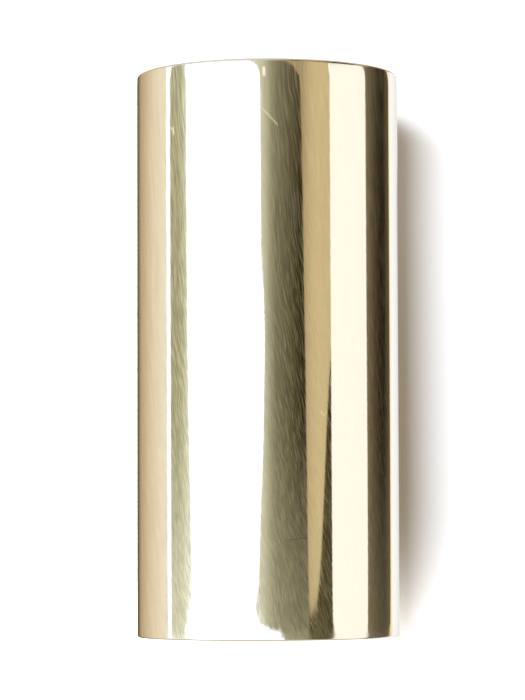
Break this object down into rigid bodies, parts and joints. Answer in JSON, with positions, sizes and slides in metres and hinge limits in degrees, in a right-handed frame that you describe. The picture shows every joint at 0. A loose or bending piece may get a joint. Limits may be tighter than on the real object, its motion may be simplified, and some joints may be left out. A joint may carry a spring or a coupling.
{
  "type": "guitar slide",
  "caption": "Heavy-walled polished brass tube worn on a finger and slid along guitar strings, open at both ends, with finely broken edges.",
  "frame": {"origin": "centre of the bore in the plane of the lower end face", "axes": "+Z along the bore axis from the lower end to the upper end; the tube is round, so +X and +Y are any two square directions"},
  "size_m": [0.028, 0.028, 0.06],
  "materials": {
    "brass": "polished, with fine hairline scratches along the tube and a satin bore"
  },
  "bodies": {
    "root": {"slide_tube": "brass"}
  },
  "joints": []
}
